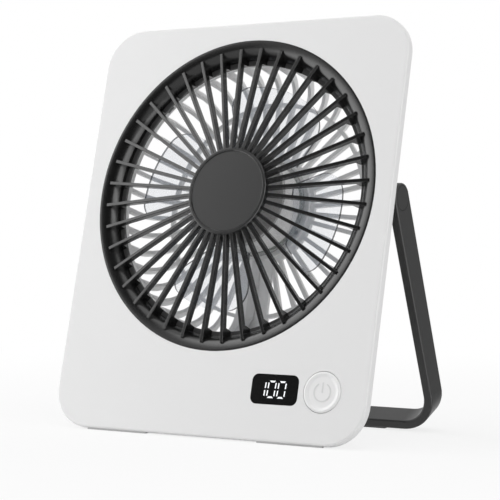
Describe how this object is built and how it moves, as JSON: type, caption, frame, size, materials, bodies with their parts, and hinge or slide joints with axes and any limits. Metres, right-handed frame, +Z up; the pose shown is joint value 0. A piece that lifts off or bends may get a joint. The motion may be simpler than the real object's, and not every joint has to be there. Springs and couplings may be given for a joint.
{
  "type": "folding desk fan",
  "caption": "Slim white desk fan that leans on a folding dark U-shaped strap, with a round spoked grille, a clear impeller, a small lit display and a power button.",
  "frame": {"origin": "on the floor, at the bottom centre of the whole fan's box, standing as in use with its strap unfolded", "axes": "+Z up, the panel faces -Y and leans back, +X is to the right of someone facing the panel"},
  "size_m": [0.15, 0.0786, 0.1729],
  "materials": {
    "white_shell": "fine satin moulded white",
    "dark_shell": "satin dark grey moulded",
    "grey_basket": "satin pale grey moulded",
    "clear_blade": "clear, faintly blue",
    "smoked_window": "polished black window",
    "lit_digit": "lit white",
    "soft_pad": "matt pale silicone",
    "dark_rubber": "matt dark rubber",
    "steel": "plain steel",
    "brass": "turned brass",
    "lamination": "stacked steel sheet",
    "winding": "enamelled copper wire",
    "magnet": "bonded magnet",
    "circuit_board": "green circuit board",
    "black_part": "black moulded component",
    "cell_wrap": "foil pouch",
    "cable_skin": "soft cable insulation",
    "washer": "natural nylon"
  },
  "bodies": {
    "head": {"front_panel": "white_shell", "rear_housing": "white_shell", "front_grille": "dark_shell", "grille_badge": "dark_shell", "rear_grille": "grey_basket", "display_window": "smoked_window", "display_digits": "lit_digit", "display_module": "black_part", "body_feet": "soft_pad", "housing_screws": "steel", "motor_screws": "steel", "pivot_screws": "steel", "bearings": "steel", "usb_port": "steel", "pivot_inserts": "brass", "bearing_tube": "brass", "stator_core": "lamination", "stator_coils": "winding", "motor_base": "black_part", "motor_board": "circuit_board", "main_board": "circuit_board", "board_chips": "black_part", "board_sockets": "washer", "switch_base": "black_part", "battery_cell": "cell_wrap", "battery_leads": "cable_skin", "motor_cable": "cable_skin", "friction_washers": "washer"},
    "impeller": {"impeller": "clear_blade", "rotor_cup": "steel", "rotor_magnet": "magnet", "motor_shaft": "steel", "shaft_clip": "steel"},
    "button": {"power_button": "white_shell", "switch_plunger": "black_part"},
    "stand": {"stand": "dark_shell", "pivot_caps": "dark_shell", "stand_foot": "dark_rubber"}
  },
  "joints": [
    {"name": "impeller_spin", "type": "hinge", "parent": "head", "child": "impeller", "pos_m": [0, -0.01377, 0.10027], "axis": [0, -0.9679, 0.2512], "continuous": true},
    {"name": "stand_fold", "type": "hinge", "parent": "head", "child": "stand", "pos_m": [0, -0.00409, 0.09775], "axis": [1, 0, 0], "range_deg": [-36.3, 143.7]},
    {"name": "button_press", "type": "slide", "parent": "head", "child": "button", "axis": [0, 0.9679, -0.2512], "range_m": [0, 0.0005], "stiffness_N_per_m": 2000, "springref_m": -0.0005}
  ]
}
